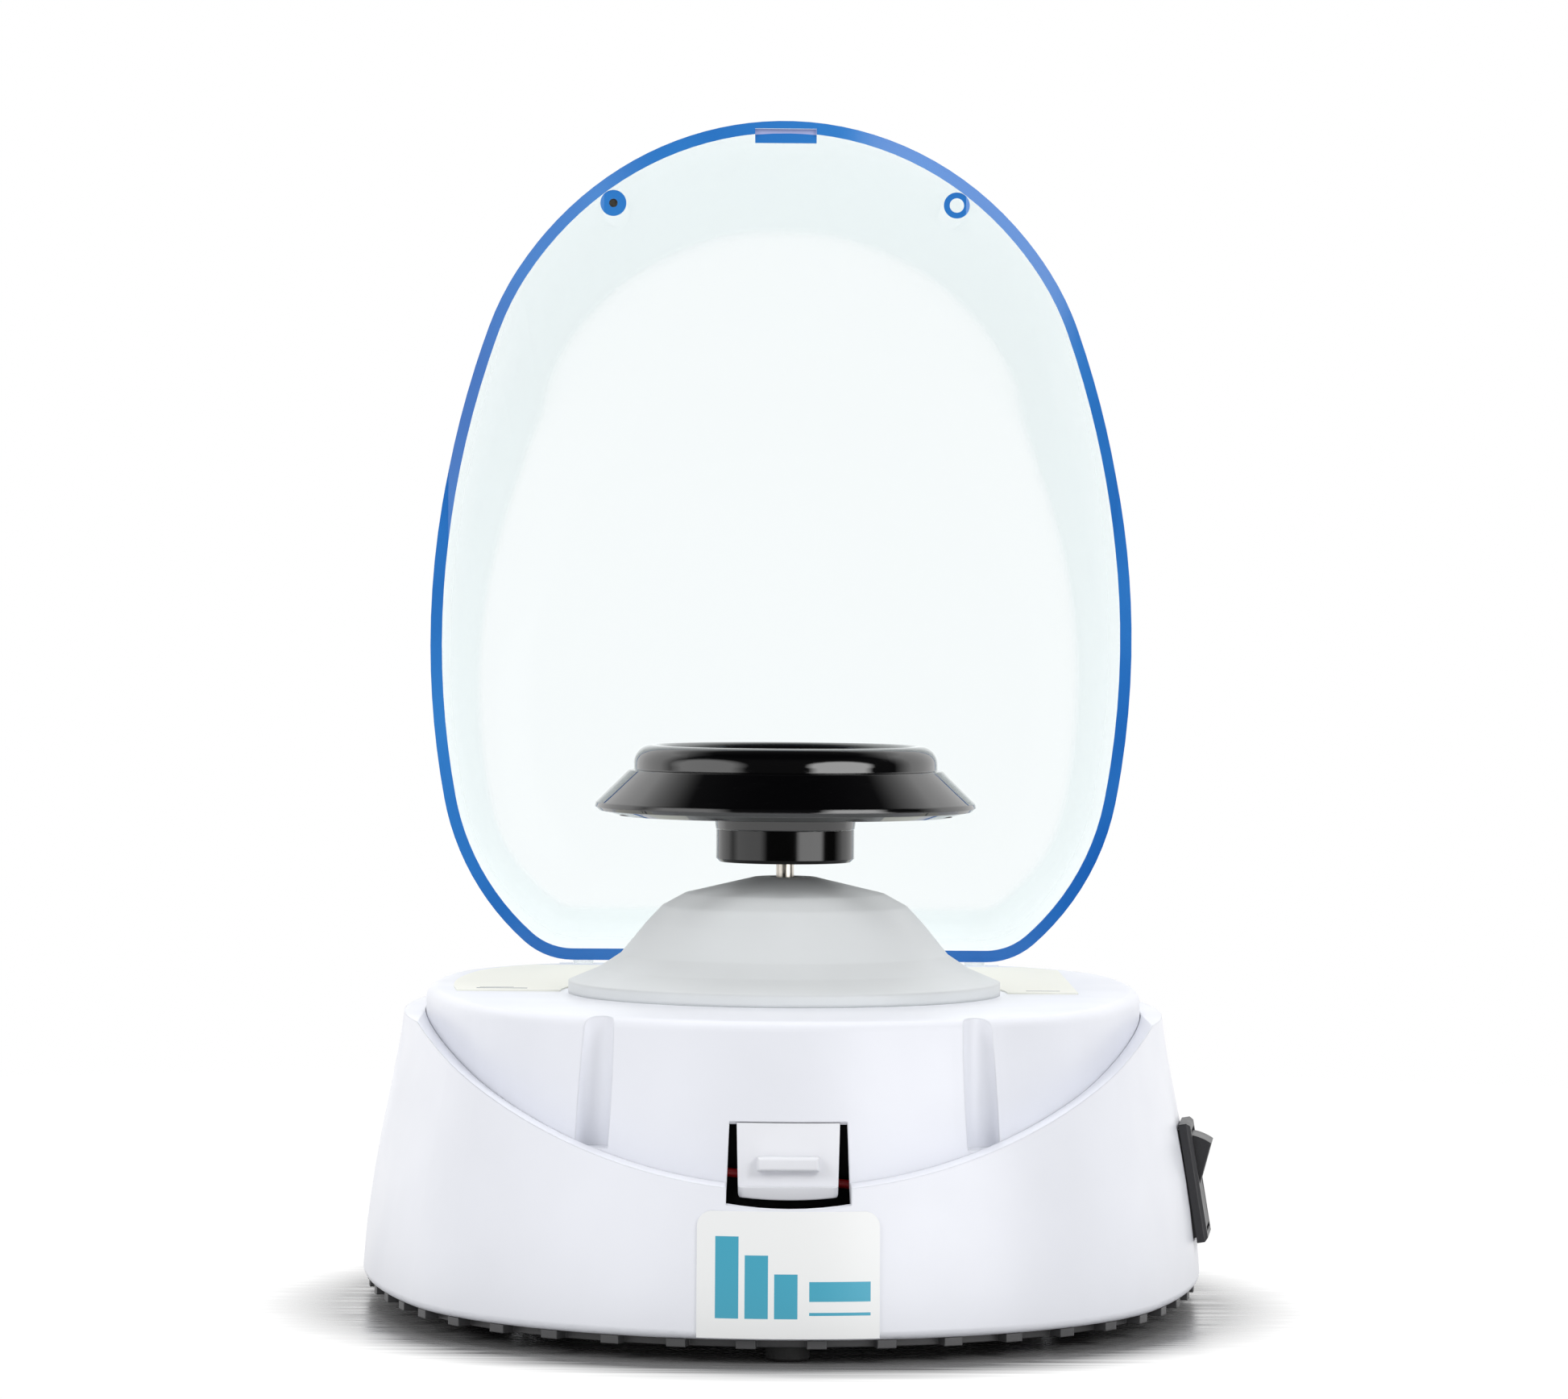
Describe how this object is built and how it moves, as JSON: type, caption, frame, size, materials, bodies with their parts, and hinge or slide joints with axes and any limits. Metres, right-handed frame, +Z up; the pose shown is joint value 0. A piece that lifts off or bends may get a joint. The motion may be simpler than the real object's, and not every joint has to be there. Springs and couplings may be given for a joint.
{
  "type": "laboratory centrifuge",
  "caption": "Small benchtop centrifuge with a flared white case, clear hinged lid with a dipping rim, black tube rotor, release tab and rocker switch.",
  "frame": {"origin": "on the rotor axis, in the plane of the feet", "axes": "+Z up along the rotor axis, +Y to the back where the lid hinge is, +X to the right where the switch is"},
  "size_m": [0.1513, 0.2303, 0.2136],
  "materials": {
    "housing_white": "satin moulded",
    "dome_white": "semi-gloss milky",
    "lid_clear": "clear polished with blue edges",
    "tab_white": "satin moulded",
    "plate_grey": "fine matte",
    "rotor_black": "polished",
    "hub_black": "satin",
    "switch_black": "satin",
    "shield_black": "matte",
    "steel": "bright",
    "zinc": "zinc plated",
    "brass": "plated",
    "copper_wire": "enamelled",
    "magnet_grey": "matte",
    "carbon": "matte",
    "rubber_black": "matte",
    "board_green": "solder mask",
    "board_parts": "moulded",
    "connector_white": "moulded",
    "lead_red": "insulation",
    "lead_black": "insulation",
    "label_white": "smooth film",
    "label_yellow": "paper film"
  },
  "bodies": {
    "base": {"upper_housing": "housing_white", "lower_housing": "housing_white", "motor_dome": "dome_white", "dome_screws": "zinc", "bottom_plate": "plate_grey", "housing_screws": "zinc", "rubber_feet": "rubber_black", "motor_cradle": "board_parts", "cradle_screws": "zinc", "motor_sleeve": "rubber_black", "motor_can": "zinc", "motor_magnets": "magnet_grey", "motor_end_cap": "board_parts", "motor_bearings": "brass", "motor_brushes": "carbon", "motor_terminals": "brass", "hinge_pins": "steel", "tab_dust_shield": "shield_black", "switch_housing": "switch_black", "switch_terminals": "brass", "power_jack": "switch_black", "jack_pin": "steel", "jack_nut": "zinc", "control_board": "board_green", "board_screws": "zinc", "board_capacitor": "board_parts", "board_transistor": "board_parts", "board_connectors": "connector_white", "lid_sensor": "board_parts", "sensor_leads": "lead_red", "motor_leads": "lead_black", "switch_leads": "lead_black", "jack_leads": "lead_black", "front_label": "label_white", "deck_label": "label_yellow"},
    "lid": {"lid_shell": "lid_clear", "lid_magnet": "steel"},
    "release_tab": {"release_tab": "tab_white"},
    "rocker": {"switch_rocker": "switch_black"},
    "drive": {"motor_shaft": "steel", "motor_armature": "magnet_grey", "motor_windings": "copper_wire", "motor_commutator": "brass", "drive_hub": "hub_black", "hub_o_ring": "rubber_black"},
    "rotor": {"tube_rotor": "rotor_black"}
  },
  "joints": [
    {"name": "lid_hinge", "type": "hinge", "parent": "base", "child": "lid", "pos_m": [0, 0.0855, 0.0515], "axis": [1, 0, 0], "range_deg": [0, 90]},
    {"name": "tab_press", "type": "hinge", "parent": "base", "child": "release_tab", "pos_m": [0, -0.0693, 0.0384], "axis": [1, 0, 0], "range_deg": [0, 9], "stiffness_Nm_per_rad": 0.05},
    {"name": "rocker_tilt", "type": "hinge", "parent": "base", "child": "rocker", "pos_m": [0.07092, 0.00012, 0.02193], "axis": [-0.1219, -0.9925, 0], "range_deg": [0, 24]},
    {"name": "rotor_spin", "type": "hinge", "parent": "base", "child": "drive", "pos_m": [0, 0, 0.08], "axis": [0, 0, 1], "continuous": true},
    {"name": "rotor_lift", "type": "slide", "parent": "drive", "child": "rotor", "axis": [0, 0, 1], "range_m": [0, 0.007]}
  ]
}
